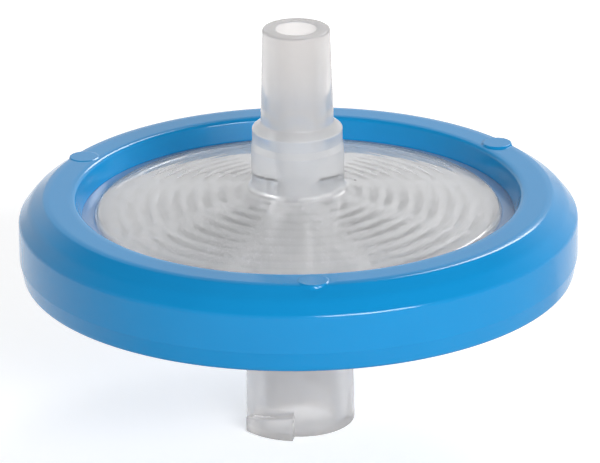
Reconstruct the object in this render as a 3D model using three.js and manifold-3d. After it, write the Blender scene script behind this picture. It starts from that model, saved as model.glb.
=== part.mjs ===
// Syringe filter, 33 mm across: a round membrane clamped between two clear
// plastic housings, whose rims are sealed by a ring moulded around them.
//
// Millimetres, +Z up along the stem. The origin is the centre of the inlet
// socket's end face, so the filter stands on its inlet with the outlet on top.

import * as THREE from 'three';
import { mergeVertices } from 'three/addons/utils/BufferGeometryUtils.js';
import Module from 'manifold-3d';

const wasm = await Module();
wasm.setup();

// ---- Driving dimensions -------------------------------------------------

const SEGMENTS = 40; // facets round every turned shape
const FIT_GAP = 0.05; // radial clearance between nested pieces
const EDGE_ROUND = 0.12; // small edge radius left by the mould
const DRAFT_STEP = 0.06; // step between the two mould halves at the parting line

// Sealing ring
const RING_R = 16.5;
const RING_WALL = 1.85; // outside the housings' flanges
const SHOULDER_WIDTH = 1.47; // sloped band outside the top face
const SHOULDER_DROP = 1.39;
const SHOULDER_BULGE = 0.08;
const FACE_BEVEL_WIDTH = 0.32; // gentle slope along both edges of the top face
const FACE_BEVEL_DROP = 0.05;
const LIP_REACH = 1.91; // how far each lip covers the flanges
const LIP_DEPTH = 1.28; // lip thickness, from the face down to the housing
const LIP_SLOPE = 0.4; // how far the opening widens towards the face
const LIP_ROUND = 0.2;
const PARTING_RISE = 1.2; // from the bottom face up to the parting line
const LOWER_TAPER = 0.22; // how far the wall narrows below the parting line
const BOTTOM_ROUND = 0.25;

// Moulding pads on the ring's top face
const PAD_COUNT = 3;
const PAD_R = 0.9;
const PAD_HEIGHT = 0.1;
const PAD_SINK = 0.3; // pad material below the face, joined into the ring
const PAD_OFFSET = 0.68; // from the face's outer edge in to a pad's centre
const PAD_FIRST_ANGLE = 32.5; // degrees from +X
const PAD_SIDES = 16;

// Membrane and the plates on both sides of it
const MEMBRANE_THICKNESS = 0.3;
const SEAL_WIDTH = 2.0; // flange outside the membrane's recess
const RECESS_GAP = 0.1; // between the membrane's edge and its recess
const CLAMP_WIDTH = 0.5; // rim of the membrane that both housings pinch
const OUTLET_PLATE = 0.91; // each plate's thickness at its rim
const INLET_PLATE = 1.07;
const OUTLET_SLOPE = Math.tan(THREE.MathUtils.degToRad(8.62)); // cone of each plate
const INLET_SLOPE = Math.tan(THREE.MathUtils.degToRad(10.15));
const OUTLET_FLAT_RIM = 0.71; // level band between a lip and the cone
const INLET_FLAT_RIM = 0.25;
const SHELF_RISE = 0.35; // step at the foot of the outlet's cone
const SHELF_WIDTH = 0.15;

// Ribs that hold the membrane, and the radial channels that cut them
const RIB_FIRST_R = 2.6;
const RIB_PITCH = 0.9;
const RIB_WIDTH = 0.25;
const RIB_ROOT_WIDTH = 0.35;
const OUTLET_CHANNEL_DEPTH = 0.3; // above the membrane at the clamp; the plate's cone adds to it inwards
const INLET_CHANNEL_DEPTH = 0.3; // below the membrane
const INLET_RIB_SKIP = 2; // the inlet has a rib at every second pitch
const SPOKE_COUNT = 8;
const SPOKE_WIDTH = 1.2;
const SPOKE_BITE = 0.05; // relief that the channels leave in the outlet's plate
const SPOKE_FIRST_ANGLE = 22.5;

// Outlet stem: a collar that carries the male Luer cone
const LUER_TAPER = 0.03; // radius lost per unit of length, for a 6% taper on diameter
const TIP_R = 1.985;
const CONE_LENGTH = 5.7; // cone that shows above the collar
const TIP_BORE_R = 1.2;
const BORE_NARROWING = 0.15; // over the wide part of the bore
const THROAT_R = 0.8; // hole through each plate
const THROAT_LENGTH = 4.1; // narrow part of the outlet's bore
const COLLAR_R = 2.74;
const COLLAR_HEIGHT = 2.25; // from the plate's cone up to the step
const COLLAR_STEP = 0.08;
const COLLAR_BAND = 0.71; // slimmer band above the step
const COLLAR_SHOULDER = 0.42; // rise of the slope from the band in to the cone
const STEP_RISE = 0.4;
const ROOT_FILLET = 0.3; // between each plate and its stem

// Inlet: a female Luer tube with two lugs
const TUBE_LENGTH = 9.5; // from the ring's bottom face to the end face
const SOCKET_R = 2.15; // at the mouth
const SOCKET_DEPTH = 8.8;
const TUBE_WALL = 1.08; // at the mouth
const TUBE_DRAFT = 0.18; // radius lost from the mouth up to the plate
const TUBE_ROUND = 0.15;
const LUG_COUNT = 2;
const LUG_REACH = 0.67; // beyond the tube
const LUG_ANGLE = 52; // degrees that each lug covers
const LUG_FIRST_ANGLE = 211.5;
const LUG_LOW_HEIGHT = 0.95; // at the end where a connector's thread starts
const LUG_HIGH_HEIGHT = 1.55;
const LUG_STEPS = 8;
const LUG_ROOT = 0.3; // lug material inside the tube's wall

// ---- Levels and radii that follow from them -----------------------------

const ringBottomZ = TUBE_LENGTH;
const plateBottomZ = ringBottomZ + LIP_DEPTH;
const membraneBottomZ = plateBottomZ + INLET_PLATE;
const seamZ = membraneBottomZ + MEMBRANE_THICKNESS / 2;
const membraneTopZ = membraneBottomZ + MEMBRANE_THICKNESS;
const plateTopZ = membraneTopZ + OUTLET_PLATE;
const ringTopZ = plateTopZ + LIP_DEPTH;

const pocketR = RING_R - RING_WALL;
const flangeR = pocketR - FIT_GAP;
const recessR = flangeR - SEAL_WIDTH;
const membraneR = recessR - RECESS_GAP;
const clampR = membraneR - CLAMP_WIDTH;
const lipR = pocketR - LIP_REACH;
const outletConeR = lipR - OUTLET_FLAT_RIM;
const inletConeR = lipR - INLET_FLAT_RIM;

const ribRadii = [];
for (let r = RIB_FIRST_R; r < clampR - RIB_WIDTH; r += RIB_PITCH) {
  ribRadii.push(r);
}

// ---- Shape helpers ------------------------------------------------------

// Points of an arc in the (radius, height) plane, between two angles in degrees.
function arc(centreR, centreZ, radius, from, to, steps = 3) {
  const points = [];
  for (let i = 0; i <= steps; i += 1) {
    const angle = THREE.MathUtils.degToRad(from + ((to - from) * i) / steps);
    points.push([centreR + radius * Math.cos(angle), centreZ + radius * Math.sin(angle)]);
  }
  return points;
}

// Shared vertices are merged, and triangles that collapsed on the axis are dropped.
function weld(geometry) {
  geometry.deleteAttribute('normal');
  geometry.deleteAttribute('uv');
  const welded = mergeVertices(geometry, 1e-5);
  const source = welded.index.array;
  const kept = [];
  for (let i = 0; i < source.length; i += 3) {
    const [a, b, c] = [source[i], source[i + 1], source[i + 2]];
    if (a !== b && b !== c && c !== a) {
      kept.push(a, b, c);
    }
  }
  welded.setIndex(kept);
  return welded;
}

// A profile of [radius, height] points, anticlockwise, turned round Z.
// A profile off the axis closes on itself.
function revolve(profile) {
  const points = profile.map(([r, z]) => new THREE.Vector2(r, z));
  if (profile[0][0] > 0) {
    points.push(points[0].clone());
  }
  const geometry = new THREE.LatheGeometry(points, SEGMENTS);
  geometry.rotateX(Math.PI / 2);
  return weld(geometry);
}

function toSolid(geometry) {
  return new wasm.Manifold(new wasm.Mesh({
    numProp: 3,
    vertProperties: new Float32Array(geometry.getAttribute('position').array),
    triVerts: new Uint32Array(geometry.index.array),
  }));
}

function toGeometry(solid) {
  const mesh = solid.getMesh();
  const geometry = new THREE.BufferGeometry();
  geometry.setAttribute('position', new THREE.BufferAttribute(mesh.vertProperties, 3));
  geometry.setIndex(new THREE.BufferAttribute(mesh.triVerts, 1));
  return geometry;
}

// Underside of each plate between its ribs, at radius r. The outlet's runs parallel to its cone.
function outletFloor(r) {
  return membraneTopZ + OUTLET_CHANNEL_DEPTH + (clampR - r) * OUTLET_SLOPE;
}

function inletFloor() {
  return membraneBottomZ - INLET_CHANNEL_DEPTH;
}

// A turned profile of ribs that stand from the plate's underside to the membrane.
function ribProfile(radii, membraneZ, floor) {
  const points = [];
  for (const r of radii) {
    const [inner, outer] = [r - RIB_ROOT_WIDTH / 2, r + RIB_ROOT_WIDTH / 2];
    points.push([inner, floor(inner)]);
    points.push([r - RIB_WIDTH / 2, membraneZ]);
    points.push([r + RIB_WIDTH / 2, membraneZ]);
    points.push([outer, floor(outer)]);
  }
  const lastR = clampR - (RIB_ROOT_WIDTH - RIB_WIDTH) / 2;
  points.push([lastR, floor(lastR)]);
  points.push([clampR, membraneZ]);
  return points;
}

// Radial channels, cut through the ribs from the throat out to the clamp.
// `room` is the turned space that they stay inside.
function cutSpokes(solid, room) {
  const length = clampR - SPOKE_WIDTH / 2;
  const height = ringTopZ;
  let result = solid;
  for (let i = 0; i < SPOKE_COUNT; i += 1) {
    const spoke = new THREE.BoxGeometry(length, SPOKE_WIDTH, height);
    spoke.translate(length / 2, 0, membraneTopZ);
    spoke.rotateZ(THREE.MathUtils.degToRad(SPOKE_FIRST_ANGLE + (360 / SPOKE_COUNT) * i));
    result = result.subtract(toSolid(weld(spoke)).intersect(room));
  }
  return result;
}

// ---- Pieces -------------------------------------------------------------

function outletHousing() {
  const stemRootR = COLLAR_R + ROOT_FILLET;
  const shelfR = outletConeR - SHELF_WIDTH;
  const shelfZ = plateTopZ + SHELF_RISE;
  const stemRootZ = shelfZ + (shelfR - stemRootR) * OUTLET_SLOPE;
  const stepZ = stemRootZ + ROOT_FILLET + COLLAR_HEIGHT;
  const bandR = COLLAR_R - COLLAR_STEP;
  const bandTopZ = stepZ + STEP_RISE + COLLAR_BAND;
  const coneZ = bandTopZ + COLLAR_SHOULDER;
  const coneR = TIP_R + LUER_TAPER * CONE_LENGTH;
  const tipZ = coneZ + CONE_LENGTH;
  const boreStepZ = membraneTopZ + THROAT_LENGTH;
  const profile = [
    [flangeR, seamZ],
    [flangeR, plateTopZ],
    [outletConeR, plateTopZ],
    [shelfR, shelfZ],
    ...arc(stemRootR, stemRootZ + ROOT_FILLET, ROOT_FILLET, 270, 180),
    [COLLAR_R, stepZ],
    [bandR, stepZ + STEP_RISE],
    ...arc(bandR - EDGE_ROUND, bandTopZ - EDGE_ROUND, EDGE_ROUND, 0, 60, 2),
    [coneR, coneZ],
    ...arc(TIP_R - EDGE_ROUND, tipZ - EDGE_ROUND, EDGE_ROUND, 0, 90),
    [TIP_BORE_R, tipZ],
    [TIP_BORE_R - BORE_NARROWING, boreStepZ + (TIP_BORE_R - BORE_NARROWING - THROAT_R)],
    [THROAT_R, boreStepZ],
    [THROAT_R, outletFloor(THROAT_R)],
    ...ribProfile(ribRadii, membraneTopZ, outletFloor),
    [recessR, membraneTopZ],
    [recessR, seamZ],
  ];
  const body = toSolid(revolve(profile));
  const room = toSolid(revolve([
    [0, membraneTopZ - FIT_GAP],
    [clampR, membraneTopZ - FIT_GAP],
    [clampR, outletFloor(clampR) + SPOKE_BITE],
    [THROAT_R, outletFloor(THROAT_R) + SPOKE_BITE],
    [0, outletFloor(THROAT_R) + SPOKE_BITE],
  ]));
  return toGeometry(cutSpokes(body, room));
}

// One lug: a sector of a ring that stands level with the tube's end face and
// whose inner side rises along the connector's thread.
function lug(innerR, outerR) {
  const sector = THREE.MathUtils.degToRad(LUG_ANGLE);
  const outline = new THREE.Shape();
  outline.absarc(0, 0, outerR, 0, sector, false);
  outline.absarc(0, 0, innerR, sector, 0, true);
  outline.closePath();
  const geometry = new THREE.ExtrudeGeometry(outline, {
    depth: LUG_HIGH_HEIGHT,
    bevelEnabled: false,
    curveSegments: LUG_STEPS,
  });
  const position = geometry.getAttribute('position');
  for (let i = 0; i < position.count; i += 1) {
    if (position.getZ(i) > 0) {
      const along = Math.atan2(position.getY(i), position.getX(i)) / sector;
      position.setZ(i, LUG_LOW_HEIGHT + (LUG_HIGH_HEIGHT - LUG_LOW_HEIGHT) * along);
    }
  }
  return weld(geometry);
}

function inletHousing() {
  const mouthR = SOCKET_R + TUBE_WALL;
  const tubeTopR = mouthR - TUBE_DRAFT;
  const stemRootR = tubeTopR + ROOT_FILLET;
  const stemRootZ = plateBottomZ - (inletConeR - stemRootR) * INLET_SLOPE;
  const inletRibs = ribRadii.filter((_, i) => i % INLET_RIB_SKIP === 0);
  const profile = [
    [THROAT_R, SOCKET_DEPTH],
    [SOCKET_R - LUER_TAPER * SOCKET_DEPTH, SOCKET_DEPTH],
    [SOCKET_R, 0],
    ...arc(mouthR - TUBE_ROUND, TUBE_ROUND, TUBE_ROUND, 270, 360),
    ...arc(stemRootR, stemRootZ - ROOT_FILLET, ROOT_FILLET, 180, 90),
    [inletConeR, plateBottomZ],
    [flangeR, plateBottomZ],
    [flangeR, seamZ],
    [recessR, seamZ],
    [recessR, membraneBottomZ],
    ...ribProfile(inletRibs, membraneBottomZ, inletFloor).reverse(),
    [THROAT_R, inletFloor()],
  ];
  const body = toSolid(revolve(profile));
  const room = toSolid(revolve([
    [0, inletFloor()],
    [clampR, inletFloor()],
    [clampR, membraneBottomZ + FIT_GAP],
    [0, membraneBottomZ + FIT_GAP],
  ]));
  let solid = cutSpokes(body, room);
  for (let i = 0; i < LUG_COUNT; i += 1) {
    const piece = lug(mouthR - LUG_ROOT, mouthR + LUG_REACH);
    piece.rotateZ(THREE.MathUtils.degToRad(LUG_FIRST_ANGLE + (360 / LUG_COUNT) * i));
    solid = solid.add(toSolid(piece));
  }
  return toGeometry(solid);
}

function filterMembrane() {
  return revolve([
    [0, membraneBottomZ],
    [membraneR, membraneBottomZ],
    [membraneR, membraneTopZ],
    [0, membraneTopZ],
  ]);
}

function sealingRing() {
  const faceR = RING_R - SHOULDER_WIDTH;
  const bevelZ = ringTopZ - FACE_BEVEL_DROP;
  const shoulderZ = ringTopZ - SHOULDER_DROP;
  const partingZ = ringBottomZ + PARTING_RISE;
  const lowerR = RING_R - DRAFT_STEP;
  const footR = lowerR - LOWER_TAPER;
  const mouthR = lipR + LIP_SLOPE;
  const middle = 0.5;
  const shoulder = [
    faceR + SHOULDER_WIDTH * middle + SHOULDER_BULGE,
    ringTopZ - SHOULDER_DROP * middle + SHOULDER_BULGE,
  ];
  const profile = [
    [lipR, plateBottomZ],
    ...arc(mouthR + LIP_ROUND, ringBottomZ + LIP_ROUND, LIP_ROUND, 180, 270),
    ...arc(footR - BOTTOM_ROUND, ringBottomZ + BOTTOM_ROUND, BOTTOM_ROUND, 270, 350),
    [lowerR, partingZ],
    [RING_R, partingZ],
    [RING_R, shoulderZ - EDGE_ROUND],
    [RING_R - EDGE_ROUND, shoulderZ + EDGE_ROUND],
    shoulder,
    [faceR + EDGE_ROUND, bevelZ - EDGE_ROUND],
    [faceR, bevelZ],
    [faceR - FACE_BEVEL_WIDTH, ringTopZ],
    [mouthR + FACE_BEVEL_WIDTH, ringTopZ],
    ...arc(mouthR + LIP_ROUND, bevelZ - LIP_ROUND, LIP_ROUND, 90, 180),
    [lipR, plateTopZ],
    [pocketR, plateTopZ],
    [pocketR, plateBottomZ],
  ];
  let solid = toSolid(revolve(profile));
  for (let i = 0; i < PAD_COUNT; i += 1) {
    const pad = new THREE.CylinderGeometry(PAD_R, PAD_R, PAD_HEIGHT + PAD_SINK, PAD_SIDES);
    pad.rotateX(Math.PI / 2);
    pad.translate(faceR - PAD_OFFSET, 0, ringTopZ + (PAD_HEIGHT - PAD_SINK) / 2);
    pad.rotateZ(THREE.MathUtils.degToRad(PAD_FIRST_ANGLE + (360 / PAD_COUNT) * i));
    solid = solid.add(toSolid(weld(pad)));
  }
  return toGeometry(solid);
}

// ---- Assembly -----------------------------------------------------------

const clearPlastic = new THREE.MeshStandardMaterial({
  color: 0xdfe3e6,
  roughness: 0.2,
  metalness: 0,
  transparent: true,
  opacity: 0.5,
});
const bluePlastic = new THREE.MeshStandardMaterial({ color: 0x1f8fd6, roughness: 0.3, metalness: 0 });
const membraneWhite = new THREE.MeshStandardMaterial({ color: 0xf2f1ee, roughness: 0.9, metalness: 0 });

function piece(name, geometry, material) {
  const mesh = new THREE.Mesh(geometry, material);
  mesh.name = name;
  geometry.computeVertexNormals();
  return mesh;
}

const filter = new THREE.Group();
filter.add(piece('outlet_housing', outletHousing(), clearPlastic));
filter.add(piece('inlet_housing', inletHousing(), clearPlastic));
filter.add(piece('filter_membrane', filterMembrane(), membraneWhite));
filter.add(piece('sealing_ring', sealingRing(), bluePlastic));

export default filter;
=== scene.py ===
"""Syringe filter: finished surfaces, plastics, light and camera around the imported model.

Shapes are worked out in millimetres, +Z up the stem, and become metres when a mesh is made.
"""

import math

import bpy
import numpy as np
from mathutils import Matrix, Vector


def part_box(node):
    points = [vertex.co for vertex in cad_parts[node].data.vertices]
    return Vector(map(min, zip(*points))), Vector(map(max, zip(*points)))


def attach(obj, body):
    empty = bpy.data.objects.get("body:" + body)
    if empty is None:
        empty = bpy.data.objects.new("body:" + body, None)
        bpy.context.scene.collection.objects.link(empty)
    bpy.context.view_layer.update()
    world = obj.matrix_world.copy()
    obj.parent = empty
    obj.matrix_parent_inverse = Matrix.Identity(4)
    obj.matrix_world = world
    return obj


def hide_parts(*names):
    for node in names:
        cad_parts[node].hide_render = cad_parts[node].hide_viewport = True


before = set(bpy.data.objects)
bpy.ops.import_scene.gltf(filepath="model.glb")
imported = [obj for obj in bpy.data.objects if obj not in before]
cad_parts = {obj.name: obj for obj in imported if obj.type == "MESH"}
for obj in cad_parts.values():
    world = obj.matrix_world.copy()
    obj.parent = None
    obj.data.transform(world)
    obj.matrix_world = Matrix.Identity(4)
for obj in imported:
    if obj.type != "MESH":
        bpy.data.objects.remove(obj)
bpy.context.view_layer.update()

MM = 0.001

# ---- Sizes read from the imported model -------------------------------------


def corners_mm(node):
    """A node's lowest and highest corners, in millimetres."""
    low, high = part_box(node)
    return np.array(low) / MM, np.array(high) / MM


PAD_HEIGHTS = (0.1, 0.03, 0.03)  # how far each moulding pad is raised here
PAD_HEIGHT = 0.1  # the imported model's pads stand this far above the ring's face

ring_low, ring_high = corners_mm("sealing_ring")
outlet_low, outlet_high = corners_mm("outlet_housing")
membrane_low, membrane_high = corners_mm("filter_membrane")

ring_r = ring_high[0]
ring_bottom = ring_low[2]
ring_top = ring_high[2] - PAD_HEIGHT
flange_r = outlet_high[0]
seam_z = outlet_low[2]
tip_z = outlet_high[2]
membrane_r = membrane_high[0]
membrane_bottom = membrane_low[2]
membrane_top = membrane_high[2]

# ---- Sizes of the finer shapes --------------------------------------------

BOND = 0.01  # bonded pieces sink this far into each other, so that no air shows between them

# Sealing ring
SHOULDER_WIDTH = 1.47
SHOULDER_DROP = 1.39
SHOULDER_BULGE = 0.09
FACE_BEVEL_WIDTH = 0.32
FACE_BEVEL_DROP = 0.05
LIP_DEPTH = 1.28
LIP_COVER = 1.86  # how far each lip covers the flange
LIP_SLOPE = 0.4
PARTING_RISE = 1.2
PARTING_STEP = 0.02
LOWER_TAPER = 0.22
PAD_R = 0.9
PAD_OFFSET = 0.68
PAD_ANGLES = (33.2, 153.2, 273.2)

# Plates, ribs and channels
OUTLET_SLOPE = math.tan(math.radians(8.62))
INLET_SLOPE = math.tan(math.radians(10.15))
OUTLET_FLAT_RIM = 0.71
INLET_FLAT_RIM = 0.25
SHELF_RISE = 0.35  # step at the foot of the outlet's cone
SHELF_WIDTH = 0.15
CLAMP_WIDTH = 0.5
RECESS_GAP = 0.1
RIB_FIRST_R = 2.6
RIB_PITCH = 0.9
RIB_WIDTH = 0.2
RIB_ROOT_WIDTH = 0.4
CHANNEL_DEPTH = 0.3
# Painted shade: the plastic over each rib is painted greyer, standing in for the ribs' shade seen through the
# plate.
RIB_PAINTED_SHADE = 0.05  # how much greyer the plastic looks over each rib
SINK_DEPTH = 0.0025  # the outer face dips this much over each rib
SPECK_PLACE = (3.38, 1.02)  # a grain of dirt moulded into the plate
SPECK_R = 0.13
RIB_SINK = 0.015  # the ribs press this far into the membrane
SPOKE_WIDTH = 1.2
SPOKE_EDGE = 0.12
SPOKE_ANGLES = 22.5 + 45.0 * np.arange(8)

# Outlet stem
PLATE_EDGE_R = 3.3  # outside this radius the plastic is a little less milky
TIP_R = 1.985
LUER_TAPER = 0.03
CONE_LENGTH = 5.7
TIP_BORE_R = 1.2
BORE_NARROWING = 0.15
THROAT_R = 0.8
THROAT_LENGTH = 4.1
COLLAR_R = 2.74
COLLAR_STEP = 0.08
COLLAR_BAND = 0.71
COLLAR_SHOULDER = 0.42
STEP_RISE = 0.4
ROOT_FILLET = 0.3

# Inlet tube
SOCKET_R = 2.15
SOCKET_DEPTH = 8.8
MOUTH_R = 3.23
TUBE_DRAFT = 0.18
TUBE_ROUND = 0.15
LUG_REACH = 0.67
LUG_STARTS = (31.5, 211.5)
LUG_ANGLE = 52.0
LUG_LOW_HEIGHT = 0.95
LUG_HIGH_HEIGHT = 1.55
LUG_ROUND = 0.12

plate_top = ring_top - LIP_DEPTH
plate_bottom = ring_bottom + LIP_DEPTH
recess_r = membrane_r + RECESS_GAP
clamp_r = membrane_r - CLAMP_WIDTH
lip_r = flange_r - LIP_COVER
outlet_cone_r = lip_r - OUTLET_FLAT_RIM
inlet_cone_r = lip_r - INLET_FLAT_RIM
face_r = ring_r - SHOULDER_WIDTH

# ---- Outlines and grids ---------------------------------------------------


def smoothstep(low, high, x):
    """0 below low, 1 above high and 3t^2 - 2t^3 between them."""
    t = np.clip((x - low) / (high - low), 0.0, 1.0)
    return t * t * (3.0 - 2.0 * t)


def rounded_outline(corners):
    """Closed outline through (radius, height, fillet) corners.

    Each corner becomes an arc of its fillet's radius, tangent to both sides, with one more point just
    outside each end of the arc, so that the straight sides shade flat.
    """
    corners = np.array(corners, float)
    points = corners[:, :2]
    pieces = []
    for i, (point, fillet) in enumerate(zip(points, corners[:, 2])):
        back = points[i - 1] - point
        ahead = points[(i + 1) % len(points)] - point
        back_length, ahead_length = np.hypot(*back), np.hypot(*ahead)
        back, ahead = back / back_length, ahead / ahead_length
        half = math.acos(np.clip(back @ ahead, -1.0, 1.0)) / 2
        reach = min(fillet / math.tan(half), 0.45 * min(back_length, ahead_length)) if fillet else 0.0
        if reach < 1e-4:
            pieces.append(point[None])
            continue
        radius = reach * math.tan(half)
        bisector = (back + ahead) / np.hypot(*(back + ahead))
        centre = point + bisector * radius / math.sin(half)
        start, end = point + back * reach - centre, point + ahead * reach - centre
        turn = math.pi - 2 * half
        steps = int(np.clip(math.ceil(turn / 0.3 * (0.5 + radius)), 2, 10))
        t = np.linspace(0.0, 1.0, steps + 1)[:, None]
        arc = centre + (np.sin((1 - t) * turn) * start + np.sin(t * turn) * end) / math.sin(turn)
        margin = min(0.04, 0.05 * min(back_length, ahead_length))
        pieces.append(np.vstack([arc[0] + back * margin, arc, arc[-1] + ahead * margin]))
    return np.vstack(pieces)


def refined(outline, spacing, inside):
    """The same closed outline with more points, `spacing` apart along it, where inside(r, z) is true."""
    loop = np.vstack([outline, outline[:1]])
    along = np.concatenate([[0.0], np.cumsum(np.hypot(*np.diff(loop, axis=0).T))])
    extra = np.arange(0.0, along[-1], spacing)
    r, z = np.interp(extra, along, loop[:, 0]), np.interp(extra, along, loop[:, 1])
    nearest = np.abs(extra[:, None] - along[None, :]).min(1)
    extra = extra[inside(r, z) & (nearest > spacing / 3)]
    every = np.sort(np.concatenate([along[:-1], extra]))
    return np.stack([np.interp(every, along, loop[:, 0]), np.interp(every, along, loop[:, 1])], 1)


def spread_angles(step, dense=()):
    """Angles round the circle, `step` degrees apart, and finer inside each (centre, half, step) of dense."""
    every = [np.arange(0.0, 360.0, step)]
    for centre, half, fine in dense:
        every[0] = every[0][np.abs((every[0] - centre + 180.0) % 360.0 - 180.0) > half]
        every.append((centre + np.arange(-half, half + fine / 2, fine)) % 360.0)
    return np.radians(np.unique(np.round(np.concatenate(every), 5)))


def turned(radii, heights, angles):
    """Grid of points (r cos a, r sin a, z): a row for each outline point and a column for each angle."""
    radii = np.broadcast_to(radii, (len(radii), len(angles)))
    heights = np.broadcast_to(heights, radii.shape)
    return np.stack([radii * np.cos(angles), radii * np.sin(angles), heights], -1)


def make_piece(name, grid, finish, poles=False, marks=None):
    """A closed smooth mesh from a grid in millimetres whose columns join end to end.

    Its rows join end to end as well, or with poles the first and last rows are one point each.
    `marks` gives each point numbers that its material can read by name.
    """
    rows, columns = grid.shape[:2]
    row, column = np.meshgrid(np.arange(rows - (1 if poles else 0)), np.arange(columns), indexing="ij")
    up, round_ = (row + 1) % rows, (column + 1) % columns
    quads = np.stack([row * columns + column, row * columns + round_,
                      up * columns + round_, up * columns + column], -1).reshape(-1, 4)
    mesh = bpy.data.meshes.new(name)
    mesh.from_pydata((grid.reshape(-1, 3) * MM).tolist(), [], quads.tolist())
    if poles:
        close_poles(mesh)
    for mark, values in (marks or {}).items():
        mesh.attributes.new(mark, "FLOAT", "POINT").data.foreach_set("value", values.ravel())
    mesh.polygons.foreach_set("use_smooth", np.ones(len(mesh.polygons), bool))
    mesh.materials.append(finish)
    mesh.validate()
    mesh.update()
    piece = bpy.data.objects.new(name, mesh)
    bpy.context.scene.collection.objects.link(piece)
    return piece


def close_poles(mesh):
    """Merges the points that lie on the axis, and drops the faces that this leaves without area."""
    import bmesh
    shape = bmesh.new()
    shape.from_mesh(mesh)
    bmesh.ops.remove_doubles(shape, verts=shape.verts, dist=1e-8)
    shape.to_mesh(mesh)
    shape.free()


def channel_floor(r, membrane_z, side):
    """Height of the plate's underside between the ribs.

    It lies CHANNEL_DEPTH away from the membrane at the clamp, and on the outlet side it runs from there
    parallel to the plate's cone.
    """
    rise = OUTLET_SLOPE * np.maximum(clamp_r - r, 0.0) if side > 0 else 0.0 * r
    return membrane_z + side * (CHANNEL_DEPTH + rise)


def rib_corners(radii, membrane_z, side, fillet=0.05):
    """Corners of ribs that reach the membrane from the plate's underside, on the outlet side for +1."""
    offsets = np.array([-RIB_ROOT_WIDTH, -RIB_WIDTH, RIB_WIDTH, RIB_ROOT_WIDTH]) / 2
    r = (radii[:, None] + offsets).ravel()
    at_floor = np.tile([True, False, False, True], len(radii))
    z = np.where(at_floor, channel_floor(r, membrane_z, side), membrane_z - side * RIB_SINK)
    lip_r = clamp_r - (RIB_ROOT_WIDTH - RIB_WIDTH) / 2
    corners = [(a, b, fillet) for a, b in zip(r, z)]
    corners.append((lip_r, channel_floor(lip_r, membrane_z, side), fillet))
    corners.append((clamp_r, membrane_z - side * RIB_SINK, fillet))
    return corners


def spoke_mask(grid):
    """1 inside the radial channels and 0 away from them, by the distance from each channel's middle line."""
    x, y = grid[..., 0], grid[..., 1]
    away = np.full(x.shape, np.inf)
    for angle in np.radians(SPOKE_ANGLES):
        along = x * math.cos(angle) + y * math.sin(angle)
        across = np.abs(y * math.cos(angle) - x * math.sin(angle))
        away = np.minimum(away, np.where(along > 0, across, np.inf))
    mask = 1.0 - smoothstep((SPOKE_WIDTH - SPOKE_EDGE) / 2, (SPOKE_WIDTH + SPOKE_EDGE) / 2, away)
    return mask * (1.0 - smoothstep(clamp_r - 0.5, clamp_r - 0.3, np.hypot(x, y)))


def cut_spokes(grid, membrane_z, side):
    """Cuts the ribs away along each spoke: z + (floor - z) * mask, from the throat to the clamp."""
    z = grid[..., 2]
    r = np.hypot(grid[..., 0], grid[..., 1])
    floor = channel_floor(r, membrane_z, side)
    above_membrane = side * (z - membrane_z) > -RIB_SINK - 1e-6
    below_floor = side * (z - floor) < 1e-6
    between = above_membrane & below_floor & (r > THROAT_R + 0.2)
    grid[..., 2] = np.where(between, z + (floor - z) * spoke_mask(grid), z)


def plastic_marks(grid, membrane_z, side, thin_z):
    """Marks on a clear piece, each a number for every point.

    `inner` is 0 outside, and on the bore and the ribs' side it is 0.5 plus the channel's depth there.
    `body` is 1 from thin_z to the membrane, `plate` 1 outside the stem, and `rim` 1 on the level
    band next to the ring, where the ring's light is painted in blue. `ribbed` is 1 where the plate has ribs,
    and 0 over the radial channels.
    """
    r = np.hypot(grid[..., 0], grid[..., 1])
    height = side * (grid[..., 2] - membrane_z)
    bore_r = TIP_BORE_R if side > 0 else SOCKET_R
    under = side * (channel_floor(r, membrane_z, side) - membrane_z)
    inner = (r < bore_r + 0.02) | (height < under + 0.05)
    thin = side * (thin_z - membrane_z)
    least = 0.0 if side > 0 else 0.35
    over_ribs = (r < clamp_r - 0.3) & (r > COLLAR_R + 0.2)
    return {
        "ribbed": over_ribs * (1.0 - spoke_mask(grid)),
        "inner": inner * (0.5 + np.clip(under, 0.0, 2.0)),
        "body": np.maximum(1.0 - smoothstep(thin - 0.3, thin + 0.3, height), least),
        # painted light: the level band next to the ring, where a blue stands in for the ring's light
        "rim": smoothstep(outlet_cone_r - 0.08, outlet_cone_r + 0.02, r) * (height > under + 0.1),
        "plate": smoothstep(PLATE_EDGE_R - 0.2, PLATE_EDGE_R + 0.2, r),
    }


rib_radii = np.arange(RIB_FIRST_R, clamp_r - RIB_WIDTH, RIB_PITCH)

# ---- Shader maths ---------------------------------------------------------


class Value:
    """A node socket that takes part in Python arithmetic by adding Math nodes."""

    def __init__(self, finish, socket):
        self.finish = finish
        self.socket = socket

    def maths(self, operation, *others):
        return self.finish.node("ShaderNodeMath", {"operation": operation},
                                dict(enumerate((self, *others))))

    def __add__(self, other):
        return self.maths("ADD", other)

    def __sub__(self, other):
        return self.maths("SUBTRACT", other)

    def __rsub__(self, other):
        return self.finish.node("ShaderNodeMath", {"operation": "SUBTRACT"}, {0: other, 1: self})

    def __mul__(self, other):
        return self.maths("MULTIPLY", other)

    def also(self, output):
        """Another output of the node that this value comes from."""
        return Value(self.finish, self.socket.node.outputs[output])

    def clamp(self, low, high):
        """This value mapped from low..high to 0..1 and kept there."""
        return self.finish.node("ShaderNodeMapRange", {"interpolation_type": "SMOOTHSTEP"},
                                {"Value": self, "From Min": low, "From Max": high})

    __radd__ = __add__
    __rmul__ = __mul__


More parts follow.
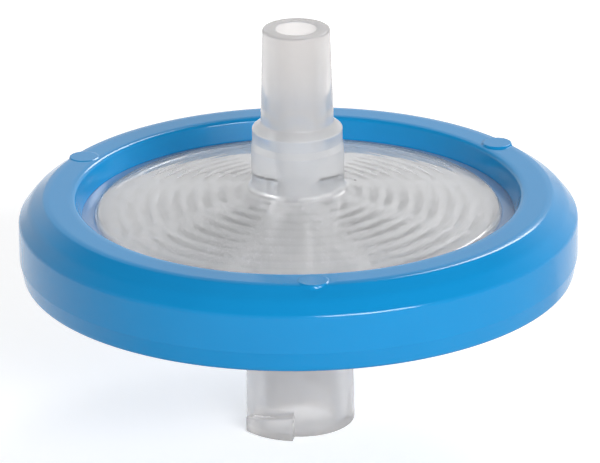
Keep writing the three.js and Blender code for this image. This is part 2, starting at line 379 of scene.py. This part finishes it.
class Finish:
    """A node tree being filled: a material's, or the world's."""

    def __init__(self, owner):
        self.owner = owner
        owner.use_nodes = True
        self.tree = owner.node_tree
        self.tree.nodes.clear()

    def node(self, kind, settings=None, sockets=None, output=0):
        """Adds a node, sets its settings, then fills its sockets with numbers, colours or nodes' values."""
        made = self.tree.nodes.new(kind)
        for name, setting in (settings or {}).items():
            if name == "stops":
                self.set_stops(made.color_ramp, setting)
            else:
                setattr(made, name, setting)
        for name, given in (sockets or {}).items():
            if isinstance(given, Value):
                self.tree.links.new(given.socket, made.inputs[name])
            else:
                made.inputs[name].default_value = given
        return Value(self, made.outputs[output]) if len(made.outputs) else made

    @staticmethod
    def set_stops(ramp, stops):
        """Gives a colour ramp its (place, colour) stops."""
        while len(ramp.elements) < len(stops):
            ramp.elements.new(1.0)
        for element, (place, colour) in zip(ramp.elements, stops):
            element.position = place
            element.color = colour

    def place(self):
        """Object coordinates, in metres."""
        return self.node("ShaderNodeTexCoord", output="Object")

    def noise(self, scale, detail=2.0, roughness=0.5, vector=None):
        return self.node("ShaderNodeTexNoise", {},
                         {"Vector": vector or self.place(), "Scale": scale, "Detail": detail,
                          "Roughness": roughness})

    def mix(self, factor, first, second):
        """Colour between first, at factor 0, and second, at 1."""
        return self.node("ShaderNodeMix", {"data_type": "RGBA"}, {0: factor, 6: first, 7: second}, output=2)

    def grey(self, level):
        return self.node("ShaderNodeCombineColor", {}, {0: level, 1: level, 2: level})

    def bump(self, height, distance, strength=1.0):
        return self.node("ShaderNodeBump", {},
                         {"Height": height, "Distance": distance, "Strength": strength})

    def surface(self, shader):
        is_world = isinstance(self.owner, bpy.types.World)
        kind = "ShaderNodeOutputWorld" if is_world else "ShaderNodeOutputMaterial"
        self.node(kind, {}, {"Surface": shader})
        return self.owner


def new_material(name):
    return Finish(bpy.data.materials.new(name))


# ---- Plastics -------------------------------------------------------------


def blue_plastic():
    """Pigmented polypropylene: saturated blue, glossy from the mould, faintly mottled."""
    f = new_material("blue_plastic")
    mottle = f.noise(260.0, 3.0)
    shader = f.node("ShaderNodeBsdfPrincipled", {}, {
        "Base Color": f.mix(mottle, (0.0015, 0.285, 0.66, 1.0), (0.004, 0.315, 0.71, 1.0)),
        "Roughness": 0.13 + mottle * 0.05,
        "IOR": 1.49,
    })
    return f.surface(shader)


def clear_plastic():
    """Natural polypropylene: it lets light through but keeps a milky haze.

    The inner walls, marked by the `inner` attribute, are rougher, which blurs what shows through them.
    The plastic looks paler where the `body` attribute says that it is thick or lies over the membrane.
    Over each rib it dips, and a painted shade greys it slightly; next to the ring a painted blue stands in
    for the ring's light reflected into it.
    """
    f = new_material("clear_plastic")
    flow = f.noise(420.0, 2.0)
    inner = f.node("ShaderNodeAttribute", {"attribute_name": "inner"}, output="Fac")
    body = f.node("ShaderNodeAttribute", {"attribute_name": "body"}, output="Fac")
    plate = f.node("ShaderNodeAttribute", {"attribute_name": "plate"}, output="Fac")
    rim = f.node("ShaderNodeAttribute", {"attribute_name": "rim"}, output="Fac")
    thin = f.mix(flow, (0.84, 0.82, 0.81, 1.0), (0.86, 0.84, 0.83, 1.0))
    thick = f.mix(flow, (0.972, 0.975, 0.982, 1.0), (0.987, 0.989, 0.995, 1.0))
    ribbed = f.node("ShaderNodeAttribute", {"attribute_name": "ribbed"}, output="Fac")
    flat = f.node("ShaderNodeVectorMath", {"operation": "MULTIPLY"}, {0: f.place(), 1: (1.0, 1.0, 0.0)})
    out = f.node("ShaderNodeVectorMath", {"operation": "LENGTH"}, {0: flat}, output=1)
    from_rib = f.node("ShaderNodeMath", {"operation": "PINGPONG"},
                      {0: out - RIB_FIRST_R * MM, 1: RIB_PITCH / 2 * MM})
    over_rib = (1.0 - from_rib.clamp(0.0, 0.3 * MM)) * ribbed
    # Painted shade: over each rib the colour is mixed toward grey, standing in for the ribs' shade seen
    # through the plate.
    rib_shaded = f.mix(over_rib * RIB_PAINTED_SHADE, f.mix(body, thin, thick), (0.5, 0.5, 0.52, 1.0))
    speck_rise = (outlet_cone_r - SHELF_WIDTH - math.hypot(*SPECK_PLACE)) * OUTLET_SLOPE
    speck_z = plate_top + SHELF_RISE + speck_rise
    away = f.node("ShaderNodeVectorMath", {"operation": "DISTANCE"},
                  {0: f.place(), 1: Vector((*SPECK_PLACE, speck_z)) * MM}, output=1)
    tint = f.mix(away.clamp(SPECK_R * 0.5 * MM, SPECK_R * MM), (0.02, 0.02, 0.02, 1.0), rib_shaded)
    sink = f.bump(1.0 - over_rib, SINK_DEPTH * MM, 1.0)
    clear = f.node("ShaderNodeBsdfPrincipled", {}, {
        "Base Color": tint,
        "Normal": sink,
        "Roughness": 0.06 + inner * 0.07,
        "IOR": 1.49,
        "Transmission Weight": 0.80,
    })
    milky = f.node("ShaderNodeBsdfTranslucent", {}, {"Color": tint})
    # Painted light: a blue plastic mixed in next to the ring, standing in for the ring's light reflected into
    # the plate.
    painted_ring_light = f.node("ShaderNodeBsdfPrincipled", {}, {
        "Base Color": (0.22, 0.46, 0.82, 1.0),
        "Roughness": 0.2,
        "IOR": 1.49,
    })
    cloudy = f.node("ShaderNodeMixShader", {}, {0: 0.20 - plate * 0.08, 1: clear, 2: milky})
    return f.surface(f.node("ShaderNodeMixShader", {}, {0: rim * 0.65, 1: cloudy, 2: painted_ring_light}))


def membrane_finish():
    """Matt white porous film."""
    f = new_material("membrane")
    grain = f.noise(5200.0, 4.0, 0.7)
    shader = f.node("ShaderNodeBsdfPrincipled", {}, {
        "Base Color": f.mix(grain, (0.945, 0.94, 0.945, 1.0), (0.98, 0.975, 0.98, 1.0)),
        "Roughness": 0.9,
        "Normal": f.bump(grain, 0.00003, 0.5),
    })
    return f.surface(shader)


# ---- Pieces ---------------------------------------------------------------


def sealing_ring(finish):
    """The moulded ring: an outline turned round Z, with pads raised on its face."""
    shoulder_z = ring_top - SHOULDER_DROP
    bevel_z = ring_top - FACE_BEVEL_DROP
    parting_z = ring_bottom + PARTING_RISE
    lower_r = ring_r - PARTING_STEP
    mouth_r = lip_r + LIP_SLOPE
    pocket_r = flange_r - BOND
    outline = rounded_outline([
        (lip_r, plate_bottom + BOND, 0.05),
        (mouth_r, ring_bottom, 0.25),
        (lower_r - LOWER_TAPER, ring_bottom, 0.3),
        (lower_r, parting_z, 0.02),
        (ring_r, parting_z, 0.02),
        (ring_r, shoulder_z, 0.35),
        ((face_r + ring_r) / 2 + SHOULDER_BULGE, (ring_top + shoulder_z) / 2 + SHOULDER_BULGE, 1.2),
        (face_r, bevel_z, 0.3),
        (face_r - FACE_BEVEL_WIDTH, ring_top, 1.6),
        (mouth_r + FACE_BEVEL_WIDTH, ring_top, 1.6),
        (mouth_r, bevel_z, 0.35),
        (lip_r, plate_top - BOND, 0.05),
        (pocket_r, plate_top - BOND, 0.0),
        (pocket_r, plate_bottom + BOND, 0.0),
    ])
    outline = refined(outline, 0.05, lambda r, z:
                      (z > ring_top - 0.4) & (r > mouth_r + 0.2) & (r < face_r + 0.3))
    angles = spread_angles(1.0, [(angle, 4.5, 0.16) for angle in PAD_ANGLES])
    grid = turned(outline[:, :1], outline[:, 1:], angles)
    x, y, z = grid[..., 0], grid[..., 1], grid[..., 2]
    for angle, pad_height in zip(np.radians(PAD_ANGLES), PAD_HEIGHTS):
        centre = (face_r - PAD_OFFSET) * np.array([math.cos(angle), math.sin(angle)])
        away = np.hypot(x - centre[0], y - centre[1])
        mask = (1.0 - smoothstep(PAD_R - 0.05, PAD_R, away)) * (z > ring_top - 0.5)
        z = z + (ring_top + pad_height - z) * mask
    grid[..., 2] = z
    return make_piece("blue_ring", grid, finish)


def outlet_shell(finish):
    """The clear upper half: coned plate, collar and slip tip, with ribs and spokes under the plate."""
    shelf_r = outlet_cone_r - SHELF_WIDTH
    shelf_z = plate_top + SHELF_RISE
    corner_z = shelf_z + (shelf_r - COLLAR_R) * OUTLET_SLOPE
    cone_r = TIP_R + LUER_TAPER * CONE_LENGTH
    cone_z = tip_z - CONE_LENGTH
    band_top = cone_z - COLLAR_SHOULDER
    step_z = band_top - COLLAR_BAND - STEP_RISE
    band_r = COLLAR_R - COLLAR_STEP
    bore_step = membrane_top + THROAT_LENGTH
    bore_r = TIP_BORE_R - BORE_NARROWING
    outline = rounded_outline([
        (flange_r, seam_z, 0.03),
        (flange_r, plate_top, 0.03),
        (outlet_cone_r, plate_top, 0.1),
        (shelf_r, shelf_z, 0.3),
        (COLLAR_R, corner_z, ROOT_FILLET),
        (COLLAR_R, step_z, 0.1),
        (band_r, step_z + STEP_RISE, 0.1),
        (band_r, band_top, 0.1),
        (cone_r, cone_z, 0.15),
        (TIP_R, tip_z, 0.12),
        (TIP_BORE_R, tip_z, 0.06),
        (bore_r, bore_step + (bore_r - THROAT_R), 0.1),
        (THROAT_R, bore_step, 0.1),
        (THROAT_R, channel_floor(THROAT_R, membrane_top, 1), 0.1),
        *rib_corners(rib_radii, membrane_top, 1),
        (recess_r, membrane_top, 0.0),
        (recess_r, seam_z, 0.0),
    ])
    outline = refined(outline, 0.45, lambda r, z:
                      (r > COLLAR_R + 0.2) & (r < shelf_r - 0.2) & (z > shelf_z))
    grid = turned(outline[:, :1], outline[:, 1:], spread_angles(1.44))
    cut_spokes(grid, membrane_top, 1)
    return make_piece("clear_outlet", grid, finish, marks=plastic_marks(grid, membrane_top, 1, cone_z))


def lug_rows(angles):
    """Rows of radii and heights up the tube's lower end, with its lugs.

    The radius is the tube's plus LUG_REACH times a mask that is 1 inside each lug's sector, and the rows'
    heights follow the lug's sloping top, so that its edge lies along a row.
    """
    degrees = np.degrees(angles)
    mask = np.zeros(len(angles))
    top = np.full(len(angles), (LUG_LOW_HEIGHT + LUG_HIGH_HEIGHT) / 2)
    for start in LUG_STARTS:
        along = (degrees - start) % 360.0
        inside = smoothstep(0.0, 2.5, along) * (1.0 - smoothstep(LUG_ANGLE - 0.8, LUG_ANGLE, along))
        mask = np.maximum(mask, inside)
        slope = LUG_LOW_HEIGHT + (LUG_HIGH_HEIGHT - LUG_LOW_HEIGHT) * np.clip(along / LUG_ANGLE, 0.0, 1.0)
        near = (along < LUG_ANGLE + 4.0) | (along > 356.0)
        top = np.where(near, np.where(along > 356.0, LUG_LOW_HEIGHT, slope), top)
    quarter = np.radians(np.linspace(0.0, 90.0, 6))[:, None]
    edge = TUBE_ROUND + (LUG_ROUND - TUBE_ROUND) * mask
    outer = MOUTH_R + LUG_REACH * mask
    bottom_r = outer - edge + edge * np.sin(quarter)
    bottom_z = edge - edge * np.cos(quarter)
    rise = np.linspace(0.3, 0.9, 3)[:, None]
    wall_r = np.broadcast_to(outer, (3, len(angles)))
    wall_z = edge + (top - LUG_ROUND - edge) * rise
    ledge_r = outer - (LUG_ROUND - LUG_ROUND * np.cos(quarter)) * mask
    ledge_z = top - LUG_ROUND + LUG_ROUND * np.sin(quarter)
    inward = np.linspace(1.0, 0.0, 4)[1:, None]
    root_r = MOUTH_R + (LUG_REACH - LUG_ROUND) * mask * inward
    root_z = top + 0.01 * (1.0 - inward)
    return np.vstack([bottom_r, wall_r, ledge_r, root_r]), np.vstack([bottom_z, wall_z, ledge_z, root_z])


def inlet_shell(finish):
    """The clear lower half: coned plate with ribs above, and the socket tube with two lugs below."""
    tube_r = MOUTH_R - TUBE_DRAFT
    stem_root_r = tube_r + ROOT_FILLET
    root_z = plate_bottom - (inlet_cone_r - stem_root_r) * INLET_SLOPE
    corner_z = root_z - ROOT_FILLET * INLET_SLOPE
    marker = LUG_HIGH_HEIGHT + 0.2
    outline = rounded_outline([
        (THROAT_R, SOCKET_DEPTH, 0.1),
        (SOCKET_R - LUER_TAPER * SOCKET_DEPTH, SOCKET_DEPTH, 0.15),
        (SOCKET_R, 0.0, 0.06),
        (MOUTH_R - 0.5, 0.0, 0.0),
        (MOUTH_R, marker, 0.0),
        (tube_r, corner_z, ROOT_FILLET),
        (inlet_cone_r, plate_bottom, 0.6),
        (flange_r, plate_bottom, 0.03),
        (flange_r, seam_z, 0.03),
        (recess_r, seam_z, 0.0),
        (recess_r, membrane_bottom, 0.0),
        *rib_corners(rib_radii[::2], membrane_bottom, -1)[::-1],
        (THROAT_R, membrane_bottom - CHANNEL_DEPTH, 0.1),
    ])
    dense = []
    for start in LUG_STARTS:
        dense += [(start + 1.0, 2.5, 0.25), (start + LUG_ANGLE - 0.5, 1.5, 0.12)]
    angles = spread_angles(1.1, dense)
    split = 1 + int(np.argmin(np.hypot(outline[:, 0] - (MOUTH_R - 0.5), outline[:, 1])))
    radii = np.broadcast_to(outline[:, :1], (len(outline), len(angles)))
    heights = np.broadcast_to(outline[:, 1:], radii.shape)
    lug_r, lug_z = lug_rows(angles)
    radii = np.vstack([radii[:split], lug_r, radii[split:]])
    heights = np.vstack([heights[:split], lug_z, heights[split:]])
    grid = turned(radii, heights, angles)
    cut_spokes(grid, membrane_bottom, -1)
    return make_piece("clear_inlet", grid, finish, marks=plastic_marks(grid, membrane_bottom, -1, corner_z))


def membrane_disc(finish):
    """The membrane: a thin flat disc."""
    outline = np.array([
        (0.0, membrane_bottom + BOND),
        (membrane_r, membrane_bottom + BOND),
        (membrane_r, membrane_top - BOND),
        (0.0, membrane_top - BOND),
    ])
    grid = turned(outline[:, :1], outline[:, 1:], spread_angles(1.5))
    return make_piece("membrane_disc", grid, finish, poles=True)


blue = blue_plastic()
clear = clear_plastic()
white = membrane_finish()

for piece, node, slot in (
    (sealing_ring(blue), "sealing_ring", "blue_plastic"),
    (outlet_shell(clear), "outlet_housing", "clear_plastic"),
    (inlet_shell(clear), "inlet_housing", "clear_plastic"),
    (membrane_disc(white), "filter_membrane", "membrane"),
):
    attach(piece, "root")
    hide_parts(node)

# ---- Floor, light and camera ----------------------------------------------

VIEW_ELEVATION = math.radians(20.55)
VIEW_ROLL = math.radians(-0.667)
VIEW_DISTANCE = 0.35
VIEW_DROP = 10.28  # from the tip down to the point that the view turns about, near the ring's face
IMAGE_WIDTH = 600
VIEW_SCALE = 16.965  # sets the lens: how much of IMAGE_WIDTH one millimetre takes at that point
AIM_RIGHT = 0.092  # from that point to the centre of the view, in millimetres
AIM_DOWN = 2.244


def add_floor():
    """A pale floor that looks white and keeps the object's shadow; its rear part is lit for reflections."""
    f = new_material("studio_floor")
    camera = f.node("ShaderNodeLightPath", output="Is Camera Ray")
    glossy = f.node("ShaderNodeLightPath", output="Is Glossy Ray")
    through = f.node("ShaderNodeLightPath", output="Is Transmission Ray")
    x = f.node("ShaderNodeSeparateXYZ", {}, {0: f.place()})
    y = x.also(1)
    behind = y - 0.364 * x
    softness = 0.001 + 0.6 * f.node("ShaderNodeMath", {"operation": "MAXIMUM"}, {0: 0.0 - x, 1: 0.0})
    rear = f.node("ShaderNodeMapRange", {"interpolation_type": "SMOOTHSTEP"},
                  {"Value": behind, "From Min": 0.0 - softness, "From Max": softness})
    right = x.clamp(0.0, 0.05)
    glow = camera * 0.5 + through * 0.3 + glossy * rear * (0.5 - 0.25 * right)
    pale = f.node("ShaderNodeBsdfDiffuse", {}, {"Color": (0.85, 0.85, 0.85, 1.0)})
    light = f.node("ShaderNodeEmission", {}, {"Color": f.grey(glow)})
    material = f.surface(f.node("ShaderNodeAddShader", {}, {0: pale, 1: light}))
    half = 3.0
    mesh = bpy.data.meshes.new("floor")
    corners = [(-half, -half, 0), (half, -half, 0), (half, half, 0), (-half, half, 0)]
    mesh.from_pydata(corners, [], [(0, 1, 2, 3)])
    mesh.materials.append(material)
    floor = bpy.data.objects.new("floor", mesh)
    bpy.context.scene.collection.objects.link(floor)


def add_world():
    """A studio: a white backdrop behind up to half height, dimmer in front and dark overhead.

    What shows through clear plastic has a brightness of its own, which rises overhead and falls to the right.
    """
    f = Finish(bpy.data.worlds.new("studio"))
    bpy.context.scene.world = f.owner
    direction = f.node("ShaderNodeTexCoord", output="Generated")
    y = f.node("ShaderNodeSeparateXYZ", {}, {0: direction}, output=1)
    height = y.also(2)
    camera = f.node("ShaderNodeLightPath", output="Is Camera Ray")
    rear = y.clamp(-0.2, 0.9)
    low = 1.0 - height.clamp(0.30, 0.75)
    right = y.also(0).clamp(0.4, 1.0)
    overhead = height.clamp(0.15, 0.7)
    glossy = f.node("ShaderNodeLightPath", output="Is Glossy Ray")
    strength = 0.12 + low * (0.30 + 0.55 * rear) * (1.0 - 0.25 * right) + (1.0 - glossy) * overhead * 0.1
    through = f.node("ShaderNodeLightPath", output="Is Transmission Ray")
    seen_through = through * (0.32 + overhead) * (1.0 - 0.3 * right)
    level = f.node("ShaderNodeMath", {"operation": "MAXIMUM"}, {0: strength, 1: camera + seen_through})
    light = f.node("ShaderNodeBackground", {}, {"Color": f.grey(level)})
    f.surface(light)


def add_softbox(name, azimuth, elevation, distance, size, radiance):
    """An area light aimed at the filter, placed by its direction in degrees and its distance in metres.

    `size` is its width and height, and `radiance` how bright it looks where white is 1.
    """
    lamp = bpy.data.lights.new(name, "AREA")
    lamp.shape = "RECTANGLE"
    lamp.size, lamp.size_y = size
    lamp.energy = radiance * math.pi * size[0] * size[1]
    a, e = math.radians(azimuth), math.radians(elevation)
    away = Vector((math.cos(e) * math.cos(a), math.cos(e) * math.sin(a), math.sin(e)))
    softbox = bpy.data.objects.new(name, lamp)
    softbox.location = away * distance + Vector((0.0, 0.0, ring_top * MM))
    softbox.rotation_euler = away.to_track_quat("Z", "Y").to_euler()
    bpy.context.scene.collection.objects.link(softbox)


def add_camera():
    """A long lens from the front, VIEW_ELEVATION above the ring, rolled by VIEW_ROLL."""
    back = Vector((0.0, -math.cos(VIEW_ELEVATION), math.sin(VIEW_ELEVATION)))
    right = Vector((1.0, 0.0, 0.0))
    up = back.cross(right)
    middle = Vector((0.0, 0.0, (tip_z - VIEW_DROP) * MM))
    eye = middle + back * VIEW_DISTANCE
    aim = middle + right * AIM_RIGHT * MM - up * AIM_DOWN * MM
    facing = (eye - aim).normalized()
    side = up.cross(facing).normalized()
    top = facing.cross(side)
    turn = Matrix((side, top, facing)).transposed() @ Matrix.Rotation(VIEW_ROLL, 3, "Z")
    camera = bpy.data.cameras.new("camera")
    camera.sensor_width = 36.0
    camera.lens = VIEW_SCALE * VIEW_DISTANCE / MM / IMAGE_WIDTH * camera.sensor_width
    camera.clip_start = 0.01
    camera.clip_end = 20.0
    viewer = bpy.data.objects.new("camera", camera)
    viewer.matrix_world = Matrix.Translation(eye) @ turn.to_4x4()
    bpy.context.scene.collection.objects.link(viewer)
    bpy.context.scene.camera = viewer


add_floor()
add_world()
add_softbox("key_front_right", -61.0, 25.0, 0.7, (0.44, 0.15), 16.0)
add_softbox("rim_back_right", 67.0, 38.0, 0.6, (0.2, 0.2), 9.0)
add_camera()
bpy.context.scene.view_settings.view_transform = "Standard"
